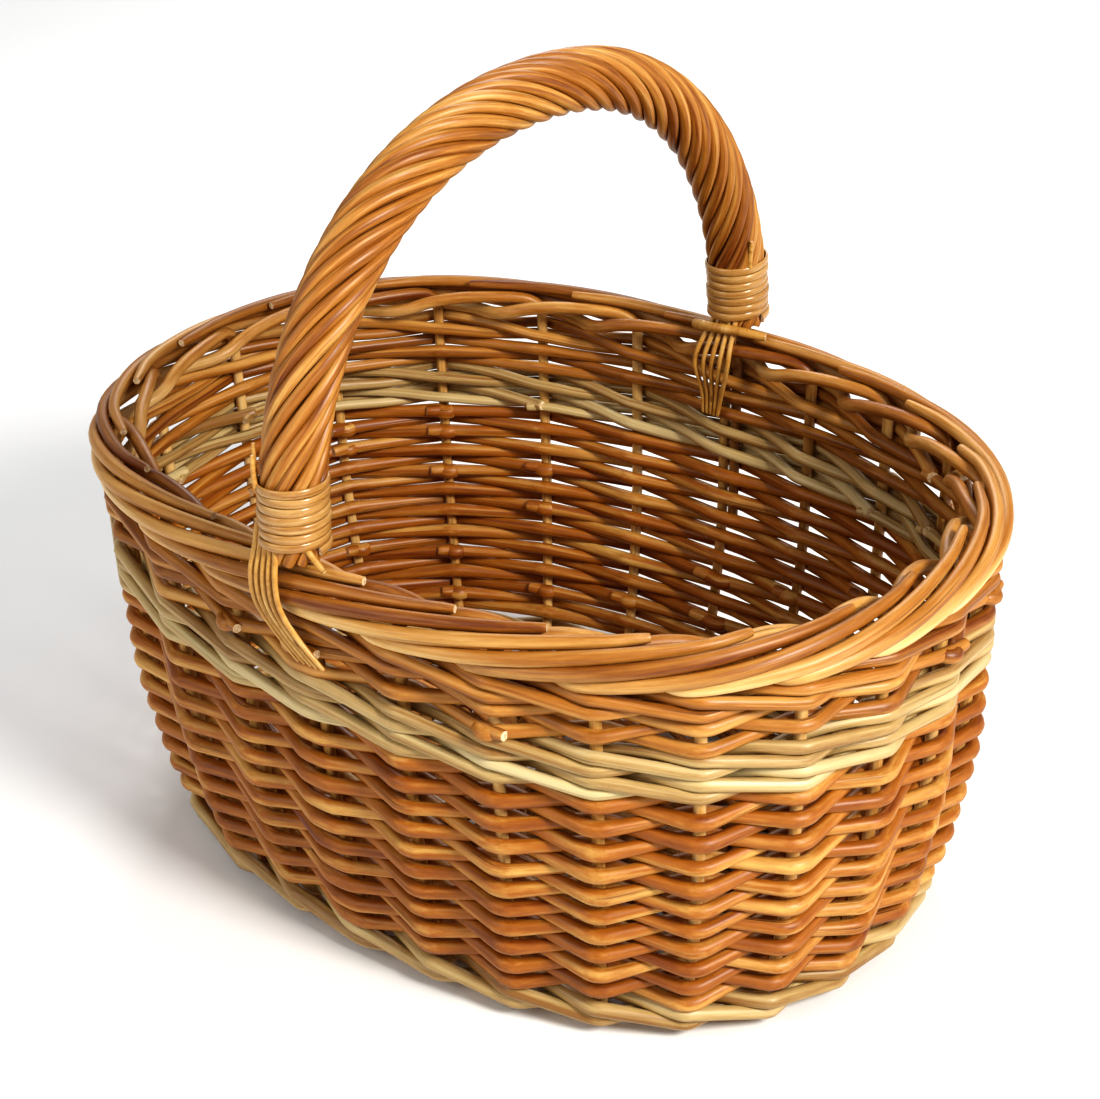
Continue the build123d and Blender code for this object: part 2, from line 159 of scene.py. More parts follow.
BASE_Z = middle_z("base_long_sticks")
BORDER_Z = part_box("side_stakes")[1][2] - BORDER_RISE - STAKE_D / 2
BORDER_TOP = BORDER_Z + BORDER_RISE + STAKE_D / 2
WALL_HEIGHTS = (BASE_Z, BASE_Z + 0.032, BASE_Z + 0.082, BORDER_Z)
UPSETT_Z = middle_z("upsett_wale_rod_1") - UPSETT_DROP
TOP_WALE_Z = middle_z("top_wale_rod_1")
WHITE_WALE_Z = [middle_z("white_wale_1_rod_1"), middle_z("white_wale_2_rod_1")]


def flare(z):
    return 1 - (1 - (z - BASE_Z) / (BORDER_Z - BASE_Z)) ** FLARE_POWER


def wall_share(z):
    """How far the wall has moved from the base edge to the rim, along its straight runs."""
    run = 0
    while run < len(WALL_HEIGHTS) - 2 and z > WALL_HEIGHTS[run + 1]:
        run += 1
    low, high = WALL_HEIGHTS[run], WALL_HEIGHTS[run + 1]
    return flare(low) + (flare(high) - flare(low)) * (z - low) / (high - low)


def outward(i):
    before, after = RIM[(i - 1) % STAKE_COUNT], RIM[(i + 1) % STAKE_COUNT]
    x, y = after[0] - before[0], after[1] - before[1]
    length = math.hypot(x, y)
    return (y / length, -x / length)


def stake_point(i, z, out=0.0):
    x, y = mix(EDGE[i], RIM[i], wall_share(z))
    n = outward(i)
    return (x + n[0] * out, y + n[1] * out, z)


def wall_point(place, z, out=0.0):
    """A point on the wall at a place counted in stakes, which may lie between two."""
    i = math.floor(place)
    return mix(stake_point(i % STAKE_COUNT, z, out), stake_point((i + 1) % STAKE_COUNT, z, out), place - i)


def stake_gap(place):
    i = math.floor(place) % STAKE_COUNT
    return math.dist(RIM[i], RIM[(i + 1) % STAKE_COUNT])


def peg_place(i):
    return i - PEG_FROM_STAKE / stake_gap(i - 1)


# Rods and pieces

def half_round(width, thickness):
    """The outline of split cane: flat on the inside and crowned on the outside."""
    outline = bpy.data.curves.new("cane_outline", "CURVE")
    spline = outline.splines.new("POLY")
    steps = 14
    spline.points.add(steps - 1)
    for k, point in enumerate(spline.points):
        turn = 2 * math.pi * k / steps
        x, y = math.cos(turn), math.sin(turn)
        depth = x * thickness * (0.62 if x > 0 else 0.3)
        point.co = (depth, math.copysign(abs(y) ** 0.7, y) * width / 2, 0.0, 1.0)
    spline.use_cyclic_u = True
    return bpy.data.objects.new("cane_outline", outline)


def curve_mesh(curve):
    """The mesh of a curve, made while its outline is in the scene."""
    holder = bpy.data.objects.new("rod", curve)
    links = bpy.context.scene.collection.objects
    used = [holder] + ([curve.bevel_object] if curve.bevel_object else [])
    for item in used:
        links.link(item)
    graph = bpy.context.evaluated_depsgraph_get()
    mesh = bpy.data.meshes.new_from_object(holder.evaluated_get(graph), depsgraph=graph)
    for item in used:
        links.unlink(item)
    bpy.data.objects.remove(holder)
    return mesh


def rod_mesh(route, radii, shade, outline=None, steps=4):
    """One rod along a smooth route, with its own shade and its length in metres up its UV."""
    curve = bpy.data.curves.new("rod", "CURVE")
    curve.dimensions = "3D"
    if outline:
        curve.bevel_mode = "OBJECT"
        curve.bevel_object = outline
        curve.twist_mode = "Z_UP"
    else:
        curve.bevel_depth = 1.0
        curve.bevel_resolution = ROD_SIDES // 2 - 2
    curve.use_fill_caps = True
    curve.resolution_u = steps
    spline = curve.splines.new("NURBS")
    spline.points.add(len(route) - 1)
    for point, place, radius in zip(spline.points, route, radii):
        point.co = (*place, 1.0)
        point.radius = radius
    spline.order_u = 3
    spline.use_endpoint_u = True
    if outline:
        mesh = curve_mesh(curve)
    else:
        holder = bpy.data.objects.new("rod", curve)
        mesh = bpy.data.meshes.new_from_object(holder)
        bpy.data.objects.remove(holder)
    length = sum(math.dist(a, b) for a, b in zip(route, route[1:]))
    around = 2 * math.pi * sum(radii) / len(radii) if not outline else 0.01
    for corner in mesh.uv_layers[0].data:
        corner.uv = (corner.uv[0] * around, corner.uv[1] * length)
    mesh.attributes.new("shade", "FLOAT", "POINT").data.foreach_set("value", [shade] * len(mesh.vertices))
    mesh.attributes.new("girth", "FLOAT", "POINT").data.foreach_set("value", [around] * len(mesh.vertices))
    return mesh


def with_cut_ends(route, radii):
    """Adds a short chamfer at both ends of a rod."""
    first, last = Vector(route[0]), Vector(route[-1])
    into = (Vector(route[1]) - first).normalized() * CHAMFER
    back = (Vector(route[-2]) - last).normalized() * CHAMFER
    route = [route[0], tuple(first + into)] + list(route[1:-1]) + [tuple(last + back), route[-1]]
    radii = [radii[0] * 0.8, radii[0]] + list(radii[1:-1]) + [radii[-1], radii[-1] * 0.8]
    return route, radii


def tapered(count, butt, tip, uneven=0.05):
    """Radii from butt to tip, slightly uneven as grown rods are."""
    wave, phase = chance.uniform(1.5, 4.0), chance.uniform(0, 6)
    shares = [k / max(count - 1, 1) for k in range(count)]
    waves = [1 + uneven * math.sin(wave * 2 * math.pi * share + phase) for share in shares]
    return [(butt + (tip - butt) * share) * swell for share, swell in zip(shares, waves)]


def make_piece(name, rods, bark, replaces=(), outline=None, steps=4):
    """Joins rods into one piece and puts it in place of its frame nodes."""
    bm = bmesh.new()
    for route, radii in rods:
        if not outline:
            route, radii = with_cut_ends(route, radii)
        mesh = rod_mesh(route, radii, chance.random(), outline, steps)
        bm.from_mesh(mesh)
        bpy.data.meshes.remove(mesh)
    for face in bm.faces:
        is_cap = len(face.verts) == 3
        face.material_index = 1 if is_cap else 0
        face.smooth = not is_cap
    bmesh.ops.remove_doubles(bm, verts=bm.verts, dist=1e-7)
    for edge in bm.edges:
        edge.smooth = len({face.material_index for face in edge.link_faces}) < 2
    mesh = bpy.data.meshes.new(name)
    bm.to_mesh(mesh)
    bm.free()
    mesh.materials.append(bark)
    mesh.materials.append(cut_wood)
    piece = bpy.data.objects.new(name, mesh)
    bpy.context.scene.collection.objects.link(piece)
    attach(piece, "root")
    if replaces:
        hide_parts(*replaces)
    return piece


# Materials

class Nodes:
    """A short way to add shader nodes and join them up."""

    def __init__(self, name):
        self.material = bpy.data.materials.new(name)
        self.material.use_nodes = True
        self.tree = self.material.node_tree
        self.shader = self.tree.nodes["Principled BSDF"]

    def add(self, kind, **settings):
        node = self.tree.nodes.new(kind)
        for key, value in settings.items():
            setattr(node, key, value)
        return node

    def put(self, target, source):
        if isinstance(source, bpy.types.NodeSocket):
            self.tree.links.new(source, target)
        else:
            target.default_value = source

    def math(self, operation, a, b=0.0, clamp=False):
        node = self.add("ShaderNodeMath", operation=operation, use_clamp=clamp)
        self.put(node.inputs[0], a)
        self.put(node.inputs[1], b)
        return node.outputs[0]

    def noise(self, vector, scale, detail=3.0, roughness=0.55, distortion=0.0):
        node = self.add("ShaderNodeTexNoise")
        self.put(node.inputs["Vector"], vector)
        self.put(node.inputs["Scale"], scale)
        self.put(node.inputs["Detail"], detail)
        self.put(node.inputs["Roughness"], roughness)
        self.put(node.inputs["Distortion"], distortion)
        return node.outputs["Fac"]

    def cells(self, vector, scale):
        node = self.add("ShaderNodeTexVoronoi")
        self.put(node.inputs["Vector"], vector)
        self.put(node.inputs["Scale"], scale)
        return node.outputs["Distance"]

    def ramp(self, factor, *stops):
        node = self.add("ShaderNodeValToRGB")
        self.put(node.inputs[0], factor)
        elements = node.color_ramp.elements
        while len(elements) < len(stops):
            elements.new(1.0)
        for element, (place, colour) in zip(elements, stops):
            element.position = place
            element.color = (*colour, 1.0) if isinstance(colour, tuple) else (colour, colour, colour, 1.0)
        return node.outputs[0]

    def mix(self, factor, a, b):
        node = self.add("ShaderNodeMix", data_type="RGBA", blend_type="MIX")
        self.put(node.inputs[0], factor)
        for socket, source in ((node.inputs[6], a), (node.inputs[7], b)):
            self.put(socket, (*source, 1.0) if isinstance(source, tuple) else source)
        return node.outputs[2]

    def combine(self, x, y, z):
        node = self.add("ShaderNodeCombineXYZ")
        for socket, source in zip(node.inputs, (x, y, z)):
            self.put(socket, source)
        return node.outputs[0]

    def bump(self, height, distance, strength):
        node = self.add("ShaderNodeBump")
        self.put(node.inputs["Height"], height)
        node.inputs["Distance"].default_value = distance
        node.inputs["Strength"].default_value = strength
        return node.outputs[0]


def rod_coordinates(n):
    """Round the rod, along it in metres, and the rod's own shade."""
    uv = n.add("ShaderNodeUVMap", uv_map="UVMap").outputs[0]
    parts = n.add("ShaderNodeSeparateXYZ")
    n.put(parts.inputs[0], uv)
    shade = n.add("ShaderNodeAttribute", attribute_name="shade").outputs["Fac"]
    girth = n.add("ShaderNodeAttribute", attribute_name="girth").outputs["Fac"]
    turn = n.math("MULTIPLY", n.math("DIVIDE", parts.outputs[0], girth), 2 * math.pi)
    return n.math("COSINE", turn), n.math("SINE", turn), parts.outputs[1], shade


def rod_vector(n, across, along, coordinates):
    """A pattern space that closes round the rod: across is its scale round, along its scale per metre."""
    c, s, length, shade = coordinates
    z = n.math("ADD", n.math("MULTIPLY", length, along), n.math("MULTIPLY", shade, 71.0))
    return n.combine(n.math("MULTIPLY", c, across), n.math("MULTIPLY", s, across), z)


FLECK_COLOUR = (0.08, 0.022, 0.003)


def willow(name, deep, main, pale, spread=0.3, streaks=0.45, blotches=1.5, flecks=0.5, scars=0.6,
           roughness=0.46, beige_below=None):
    """Stripped willow: long streaks, a tint for each rod, dark flecks and bud scars, and a satin skin."""
    n = Nodes(name)
    place = rod_coordinates(n)
    shade = place[3]
    streak = n.noise(rod_vector(n, 1.6, 14.0, place), 1.0, 5.0, 0.62)
    fibre = n.noise(rod_vector(n, 9.0, 30.0, place), 1.0, 3.0, 0.6)
    blotch = n.noise(rod_vector(n, 0.35, 9.0, place), 1.0, 2.0, 0.5)
    tone = n.math("MULTIPLY", n.math("SUBTRACT", streak, 0.5), streaks * 2.4)
    tone = n.math("ADD", tone, n.math("MULTIPLY", n.math("SUBTRACT", shade, 0.5), spread * 1.6))
    tone = n.math("ADD", tone, n.math("MULTIPLY", n.math("SUBTRACT", blotch, 0.5), blotches))
    tone = n.math("ADD", tone, n.math("MULTIPLY", n.math("SUBTRACT", fibre, 0.5), 0.35))
    tone = n.math("ADD", tone, 0.5, clamp=True)
    colour = n.ramp(tone, (0.06, deep), (0.5, main), (0.94, pale))
    if beige_below:
        height = n.add("ShaderNodeSeparateXYZ")
        n.put(height.inputs[0], n.add("ShaderNodeTexCoord").outputs["Object"])
        above = n.math("MULTIPLY", n.math("SUBTRACT", height.outputs[2], beige_below), 120.0, clamp=True)
        beige = n.ramp(tone, (0.06, (0.36, 0.16, 0.035)), (0.5, (0.66, 0.40, 0.13)),
                       (0.94, (0.82, 0.60, 0.29)))
        colour = n.mix(above, beige, colour)

    fleck_noise = n.noise(rod_vector(n, 3.2, 330.0, place), 1.0, 2.0, 0.5)
    fleck = n.ramp(fleck_noise, (0.665, 0.0), (0.73, 1.0))
    colour = n.mix(n.math("MULTIPLY", fleck, flecks), colour, FLECK_COLOUR)

    scar_distance = n.cells(rod_vector(n, 0.55, 17.0, place), 1.0)
    scar = n.ramp(scar_distance, (0.05, 1.0), (0.13, 0.0))
    ring = n.ramp(scar_distance, (0.1, 0.0), (0.16, 1.0), (0.25, 0.0))
    colour = n.mix(n.math("MULTIPLY", ring, scars * 0.35), colour, pale)
    colour = n.mix(n.math("MULTIPLY", scar, scars), colour, FLECK_COLOUR)
    n.put(n.shader.inputs["Base Color"], colour)

    rough = n.math("ADD", n.math("MULTIPLY", n.math("SUBTRACT", streak, 0.5), 0.35), roughness)
    rough = n.math("ADD", rough, n.math("MULTIPLY", scar, 0.2), clamp=True)
    n.put(n.shader.inputs["Roughness"], rough)
    height = n.math("ADD", n.math("MULTIPLY", fibre, 0.35), n.math("MULTIPLY", streak, 0.4))
    height = n.math("ADD", height, n.math("MULTIPLY", ring, 0.7))
    n.put(n.shader.inputs["Normal"], n.bump(height, 0.00035, 0.7))
    n.shader.inputs["Coat Weight"].default_value = 0.12
    n.shader.inputs["Coat Roughness"].default_value = 0.3
    return n.material


def cane_skin(name):
    """Glossy split cane with fine lines along it and soft patches."""
    n = Nodes(name)
    place = rod_coordinates(n)
    line = n.noise(rod_vector(n, 7.0, 6.0, place), 1.0, 4.0, 0.6)
    patch = n.noise(rod_vector(n, 0.4, 26.0, place), 1.0, 2.0, 0.5)
    tone = n.math("ADD", n.math("MULTIPLY", line, 0.6), n.math("MULTIPLY", patch, 0.45), clamp=True)
    colour = n.ramp(tone, (0.3, (0.28, 0.11, 0.02)), (0.52, (0.46, 0.25, 0.075)),
                    (0.75, (0.62, 0.42, 0.18)))
    n.put(n.shader.inputs["Base Color"], colour)
    n.put(n.shader.inputs["Roughness"], n.math("ADD", n.math("MULTIPLY", line, 0.2), 0.18))
    n.put(n.shader.inputs["Normal"], n.bump(line, 0.0002, 0.6))
    n.shader.inputs["Coat Weight"].default_value = 0.35
    n.shader.inputs["Coat Roughness"].default_value = 0.15
    return n.material


def end_grain(name):
    """The pale cut end of a rod."""
    n = Nodes(name)
    space = n.add("ShaderNodeTexCoord").outputs["Object"]
    grain = n.noise(space, 900.0, 4.0, 0.6)
    colour = n.ramp(grain, (0.35, (0.52, 0.33, 0.16)), (0.65, (0.88, 0.72, 0.48)))
    n.put(n.shader.inputs["Base Color"], colour)
    n.put(n.shader.inputs["Normal"], n.bump(grain, 0.0003, 0.6))
    n.shader.inputs["Roughness"].default_value = 0.75
    return n.material


def frame_willow(name, deep, main, pale):
    """Willow for rods that stay as the frame has them, patterned in the object's space."""
    n = Nodes(name)
    space = n.add("ShaderNodeTexCoord").outputs["Object"]
    patch = n.noise(space, 45.0, 4.0, 0.6, 0.4)
    fine = n.noise(space, 420.0, 3.0, 0.6)
    tone = n.math("ADD", n.math("MULTIPLY", patch, 0.8), n.math("MULTIPLY", fine, 0.25), clamp=True)
    colour = n.ramp(tone, (0.32, deep), (0.52, main), (0.74, pale))
    fleck = n.ramp(n.noise(space, 260.0, 2.0), (0.66, 0.0), (0.72, 1.0))
    colour = n.mix(n.math("MULTIPLY", fleck, 0.5), colour, (0.09, 0.03, 0.01))
    n.put(n.shader.inputs["Base Color"], colour)
    n.put(n.shader.inputs["Roughness"], n.math("ADD", n.math("MULTIPLY", fine, 0.3), 0.4))
    n.put(n.shader.inputs["Normal"], n.bump(fine, 0.0003, 0.5))
    return n.material


cut_wood = end_grain("cut_end")
brown_bark = willow("buff_willow_brown", (0.17, 0.034, 0.0014), (0.38, 0.134, 0.011), (0.66, 0.41, 0.12),
                    spread=0.13, blotches=1.1, roughness=0.5)
tan_bark = willow("buff_willow_tan", (0.17, 0.045, 0.004), (0.40, 0.165, 0.024), (0.62, 0.35, 0.10),
                  flecks=0.6)
border_bark = willow("buff_willow_border", (0.17, 0.042, 0.003), (0.40, 0.165, 0.024), (0.62, 0.36, 0.11),
                     blotches=1.0, flecks=0.6, beige_below=BORDER_Z - 0.004)
white_bark = willow("white_willow", (0.27, 0.13, 0.030), (0.49, 0.345, 0.145), (0.62, 0.51, 0.28),
                    flecks=0.45, scars=0.5)
roping_bark = willow("roping_willow", (0.13, 0.022, 0.001), (0.41, 0.168, 0.024), (0.68, 0.43, 0.14),
                     spread=0.16, streaks=0.6, blotches=0.8)
tail_bark = willow("tail_willow", (0.30, 0.11, 0.014), (0.56, 0.31, 0.075), (0.74, 0.50, 0.20),
                   spread=0.1, blotches=0.5, roughness=0.3)
cane = cane_skin("split_cane")
stick_wood = frame_willow("base_stick_wood", (0.13, 0.05, 0.012), (0.32, 0.15, 0.04), (0.50, 0.28, 0.1))
base_wood = frame_willow("base_weave_wood", (0.17, 0.05, 0.008), (0.42, 0.17, 0.035), (0.62, 0.32, 0.09))


# Side stakes and border

BORDER_LINE = (
    # stakes travelled, out of the stake line, up from the border's own height
    (0.5, -0.0085, 0.0070),
    (1.0, -0.0125, 0.0050),
    (1.35, -0.0110, -0.0010),
    (1.65, 0.0040, -0.0045),
    (2.0, 0.0070, -0.0040),
    (3.0, 0.0095, 0.0020),
    (4.0, 0.0065, 0.0080),
    (5.0, 0.0, 0.0105),
    (5.6, -0.0045, BORDER_RISE),
)


def make_stakes():
    rods = []
    for i in range(STAKE_COUNT):
        foot = stake_point(i, BASE_Z, -0.022)
        route = [foot] + [stake_point(i, z) for z in WALL_HEIGHTS[:-1]]
        route += [stake_point(i, z) for z in (BORDER_Z - 0.06, BORDER_Z - 0.012)]
        route.append(stake_point(i, BORDER_Z + STAKE_TOP_RISE))
        radii = [0.0026, 0.0025, 0.0025, 0.0025, 0.0025, 0.0025, 0.0027]
        end_shift = chance.uniform(-0.12, 0.12)
        for travelled, out, up in BORDER_LINE:
            last = travelled == BORDER_LINE[-1][0]
            place = i + travelled + (end_shift if last else chance.uniform(-0.02, 0.02))
            lift = chance.uniform(-0.0004, 0.0004)
            route.append(wall_point(place, BORDER_Z + up + lift, out)[:2] + (BORDER_Z + up + lift,))
            girth = 0.7 if last else 0.9 if travelled == 5.0 else 1.0
            radii.append(BORDER_RADIUS * girth * chance.uniform(0.95, 1.05))
        rods.append((route, radii))
    make_piece("stakes_and_border", rods, border_bark, ["side_stakes"], steps=6)


# Weavers

def passes(i):
    """The places that a weaver passes at stake i, from just before it to just after."""
    before = peg_place(i) if i % STAKE_COUNT in HANDLE_STAKES else i
    return (before - KINK / stake_gap(i - 1), i + KINK / stake_gap(i))


def lean(i, z):
    low, high = stake_point(i % STAKE_COUNT, z - 0.001), stake_point(i % STAKE_COUNT, z + 0.001)
    return math.atan2(math.dist(low[:2], high[:2]), high[2] - low[2])


def weave_point(place, i, z, out, up):
    """Out of the leaning wall and up along it, with stake i's lean."""
    tilt = lean(i, z)
    x, y, _ = wall_point(place, z, out * math.cos(tilt) + up * math.sin(tilt))
    return (x, y, z + up * math.cos(tilt) - out * math.sin(tilt))


def pieced(stations, joints, butt, tip):
    """Cuts a round of weaving into rods, each from a joint stake to a little past the next joint."""
    rods = []
    for k, start in enumerate(joints):
        end = joints[(k + 1) % len(joints)]
        if end <= start:
            end += STAKE_COUNT
        passed = []
        for i in range(start, end + 1):
            passed += stations(i, "start" if i == start else "end" if i == end else "")
        radii = [r * thickness for r, (_, thickness) in zip(tapered(len(passed), butt, tip), passed)]
        rods.append(([point for point, _ in passed], radii))
    return rods


def randing_rods(z, butt, tip, parity, joint_side, poke):
    """One round that goes outside and inside the stakes in turn."""
    reach = STAKE_D / 2 + butt - PRESSED
    waver = [chance.uniform(-0.00035, 0.00035) for _ in range(STAKE_COUNT)]

    def stations(i, ending):
        side = 1 if (i + parity) % 2 == 0 else -1
        lift = waver[i % STAKE_COUNT] - DROP / 2 * side
        before, after = passes(i)
        arriving = weave_point(before, i, z, side * reach, lift)
        leaving = weave_point(after, i, z, side * reach, lift)
        straight = NEARBY * KINK / stake_gap(i)
        if ending == "start":
            place = before + SIDING_START_ON
            arriving = weave_point(place, i, z, side * (reach + poke), lift - SIDING_START_LOW)
        if ending == "end":
            leaving = weave_point(after + SIDING_END_ON, i, z, side * (reach + poke), lift + SIDING_END_HIGH)
            return [(arriving, 1.0), (leaving, 0.9)]
        out, up = side * reach * NEARBY_OUT, lift * NEARBY_UP
        nearer = weave_point(before - straight, i, z, out, up)
        further = weave_point(after + straight, i, z, out, up)
        halfway = weave_point((after + passes(i + 1)[0]) / 2, i, z, 0.0, 0.0)
        return [(nearer, 0.98), (arriving, 1.02), (leaving, 1.02), (further, 0.98), (halfway, CROSSING)]

    first = chance.randrange(0, STAKE_COUNT)
    if ((first + parity) % 2 == 0) != (joint_side == 1):
        first += 1
    joints = sorted((first + step) % STAKE_COUNT for step in (0, 8, 16))
    return pieced(stations, joints, butt, tip)


def wale_rods(z, butt, tip, first):
    """One of three strands, in front of two stakes and behind one."""
    reach = STAKE_D / 2 + butt + WALE_GAP
    half = butt + WALE_GAP
    at_stake = ((-reach, 0.0), (reach, half), (reach, -half))
    between = ((0.0, half), (reach, 0.0), (0.0, -half))

    def stations(i, ending):
        step = (i - first) % 3
        out, up = at_stake[step]
        before, after = passes(i)
        arriving = weave_point(before, i, z, out, up)
        leaving = weave_point(after, i, z, out, up)
        if ending == "start":
            arriving = weave_point(before, i, z, out - POKE, up + WALE_END_UP)
        if ending == "end":
            leaving = weave_point(after + WALE_END_ON, i, z, out - POKE, up - WALE_END_UP)
            return [(arriving, 1.0), (leaving, 0.95)]
        halfway = weave_point((after + passes(i + 1)[0]) / 2, i, z, *between[step])
        return [(arriving, 1.0), (leaving, 1.0), (halfway, 0.94)]

    start = first + 3 * chance.randrange(0, 4)
    joints = sorted((start + step) % STAKE_COUNT for step in (0, 12))
    return pieced(stations, joints, butt, tip)


def make_wall():
    for k in (1, 2, 3):
        node = f"upsett_wale_rod_{k}"
        make_piece(f"upsett_rods_{k}", wale_rods(UPSETT_Z, UPSETT_BUTT, UPSETT_TIP, k - 1),
                   white_bark, [node])
        node = f"top_wale_rod_{k}"
        make_piece(f"top_wale_rods_{k}", wale_rods(TOP_WALE_Z, TOP_BUTT, TOP_TIP, k - 1),
                   tan_bark, [node])
        for turn in (1, 2):
            node = f"white_wale_{turn}_rod_{k}"
            z = WHITE_WALE_Z[turn - 1]
            make_piece(f"white_wale_{turn}_rods_{k}", wale_rods(z, WALE_BUTT, WALE_TIP, k - 1),
                       white_bark, [node])
    for row in range(SIDING_ROWS):
        node = f"lower_siding_row_{row + 1:02d}"
        rods = randing_rods(middle_z(node), SIDING_BUTT, SIDING_TIP, row, -1, POKE)
        make_piece(f"brown_siding_{row + 1:02d}", rods, brown_bark, [node])
    for row in range(TAN_ROWS):
        node = f"upper_siding_row_{row + 1}"
        rods = randing_rods(middle_z(node), TAN_BUTT, TAN_TIP, row, 1, TAN_POKE)
        make_piece(f"tan_siding_{row + 1}", rods, tan_bark, [node])


def make_base():
    for node in ("base_long_sticks", "base_short_sticks"):
        frame["nodes"][node].data.materials[0] = stick_wood
    for node in ("base_weave_outer", "base_weave_inner", "base_edge_rod_1", "base_edge_rod_2"):
        frame["nodes"][node].data.materials[0] = base_wood
    frame["nodes"]["handle_bow"].data.materials[0] = stick_wood


# Handle

NEAR_FOOT, FAR_FOOT = (wall_point(peg_place(i), BORDER_TOP + 0.001, BOW_OUT) for i in HANDLE_STAKES)
BOW_MIDDLE = mix(NEAR_FOOT, FAR_FOOT, 0.5)
BOW_HALF_SPAN = math.dist(NEAR_FOOT, FAR_FOOT) / 2
ACROSS = (Vector(FAR_FOOT) - Vector(NEAR_FOOT)).normalized()
SIDEWAYS = Vector((ACROSS.y, -ACROSS.x, 0.0))
BOW_CORE = 0.0080
ROPING_SEAT = 0.0028        # from the bow's skin to a roping rod's middle line
FOOT_SQUEEZE = 0.0008       # how much closer the binding pulls the roping at a foot
FOOT_SHARE = 0.08           # the share of the bow at each foot that is squeezed so
BINDING_RISE = 0.0058
BINDING_WIDTH = 0.0037
BINDING_THICKNESS = 0.0014
BINDING_TURNS = 7.4
BINDING_AIM = 0.16          # how far round the bow from its foot a binding aims, in radians


def bow_point(turn):
    c, s = math.cos(turn), math.sin(turn)
    power = 2 / BOW_POWER
    level = BOW_HALF_SPAN * math.copysign(abs(c) ** power, c)
    return Vector(BOW_MIDDLE) + ACROSS * level + Vector((0, 0, BOW_RISE * abs(s) ** power))


def bow_frames(steps, extra):
    """Evenly spaced points along the bow with the direction out of the arch, from foot to foot."""
    fine = [bow_point(math.pi * (1 - k / 1200)) for k in range(1201)]
    along = [0.0]
    for a, b in zip(fine, fine[1:]):
        along.append(along[-1] + (b - a).length)
    frames = []
    k = 0
    for step in range(steps + 1):
        goal = extra + (along[-1] - 2 * extra) * step / steps
        while along[k + 1] < goal:
            k += 1
        low, high = fine[max(k - 6, 0)], fine[min(k + 6, 1200)]
        run = (high - low).normalized()
        out = SIDEWAYS.cross(run)
        if out.z < 0 and 0.1 < step / steps < 0.9:
            out = -out
        frames.append((fine[k].lerp(fine[k + 1], (goal - along[k]) / (along[k + 1] - along[k])), out))
    return frames


def make_roping():
    steps = 60
    frames = bow_frames(steps, 0.001)
    rods = []
    for rod in range(ROPING_RODS):
        drift, phase = chance.uniform(-0.05, 0.05), chance.uniform(0, 6)
        route = []
        for step, (middle, out) in enumerate(frames):
            share = step / steps
            angle = 2 * math.pi * (rod / ROPING_RODS + share * ROPING_TURNS)
            angle += drift * math.sin(5 * share + phase)
            squeezed = max(0.0, 1 - min(share, 1 - share) / FOOT_SHARE)
            reach = BOW_CORE + ROPING_SEAT - FOOT_SQUEEZE * squeezed
            route.append(tuple(middle + (out * math.cos(angle) + SIDEWAYS * math.sin(angle)) * reach))
        rods.append((route, tapered(len(route), ROPING_BUTT, ROPING_TIP, 0.03)))
    make_piece("roping", rods, roping_bark, ["handle_roping"])


def make_binding(name, node, foot, heading):
    """Split cane wound round the foot of the handle."""
    axis = (heading - Vector(foot)).normalized()
    other = axis.cross(SIDEWAYS)
    radius = BOW_CORE + 2 * ROPING_BUTT + 0.0004
    steps = int(BINDING_TURNS * 20)
    route = []
    for k in range(steps + 1):
        angle = 2 * math.pi * BINDING_TURNS * k / steps
        rise = BINDING_RISE + BINDING_WIDTH * angle / (2 * math.pi) * 0.99
        reach = radius + 0.0003 * math.sin(1.7 * angle)
        round_axis = SIDEWAYS * math.cos(angle) + other * math.sin(angle)
        route.append(tuple(Vector(foot) + axis * rise + round_axis * reach))
    outline = half_round(BINDING_WIDTH, BINDING_THICKNESS)
    make_piece(name, [(route, [1.0] * len(route))], cane, [node], outline=outline, steps=2)


TAIL_COUNT = 5
TAIL_SPACING = 0.0025
TAIL_BUTT, TAIL_TIP = 0.0013, 0.0010
OUTSIDE_TAIL = (
    # out of the stake line, up from the border's height, along the wall, spread
    (0.0085, 0.0300, -0.0042, 1.0),
    (0.0107, 0.0200, -0.0044, 1.1),
    (0.0140, 0.0105, -0.0044, 1.3),
    (0.0147, -0.0020, -0.0034, 1.35),
    (0.0120, -0.0150, 0.0035, 1.3),
    (0.0108, -0.0250, 0.0135, 1.3),
)
INSIDE_TAIL = (
    (0.0085, 0.0300, 0.0, 1.0),
    (0.0107, 0.0195, 0.0, 1.2),
    (0.0165, 0.0090, 0.0010, 1.7),
    (0.0174, -0.0020, 0.0030, 2.0),
    (0.0126, -0.0160, 0.0050, 1.1),
    (0.0108, -0.0290, 0.0070, 0.8),
)
NEAR_ENDS = (
    # each rod's radius and its points: sideways, across the basket, and up from the foot
    (0.0014, (0.0085, -0.0040, 0.0100), (0.0135, -0.0035, 0.0050), (0.0190, -0.0030, 0.0)),
    (0.0010, (-0.0088, -0.0085, 0.0290), (-0.0094, -0.0080, 0.0380), (-0.0104, -0.0066, 0.0470)),
    (0.0011, (-0.0068, -0.0105, 0.0290), (-0.0072, -0.0108, 0.0370), (-0.0077, -0.0100, 0.0440)),
)
FAR_ENDS = (
    (0.0012, (0.0110, -0.0070, 0.0290), (0.0120, -0.0078, 0.0360), (0.0130, -0.0080, 0.0450)),
    (0.0026, (-0.0165, -0.0110, -0.0010), (-0.0040, -0.0150, 0.0018), (0.0080, -0.0140, 0.0030),
     (0.0215, -0.0080, 0.0010)),
)


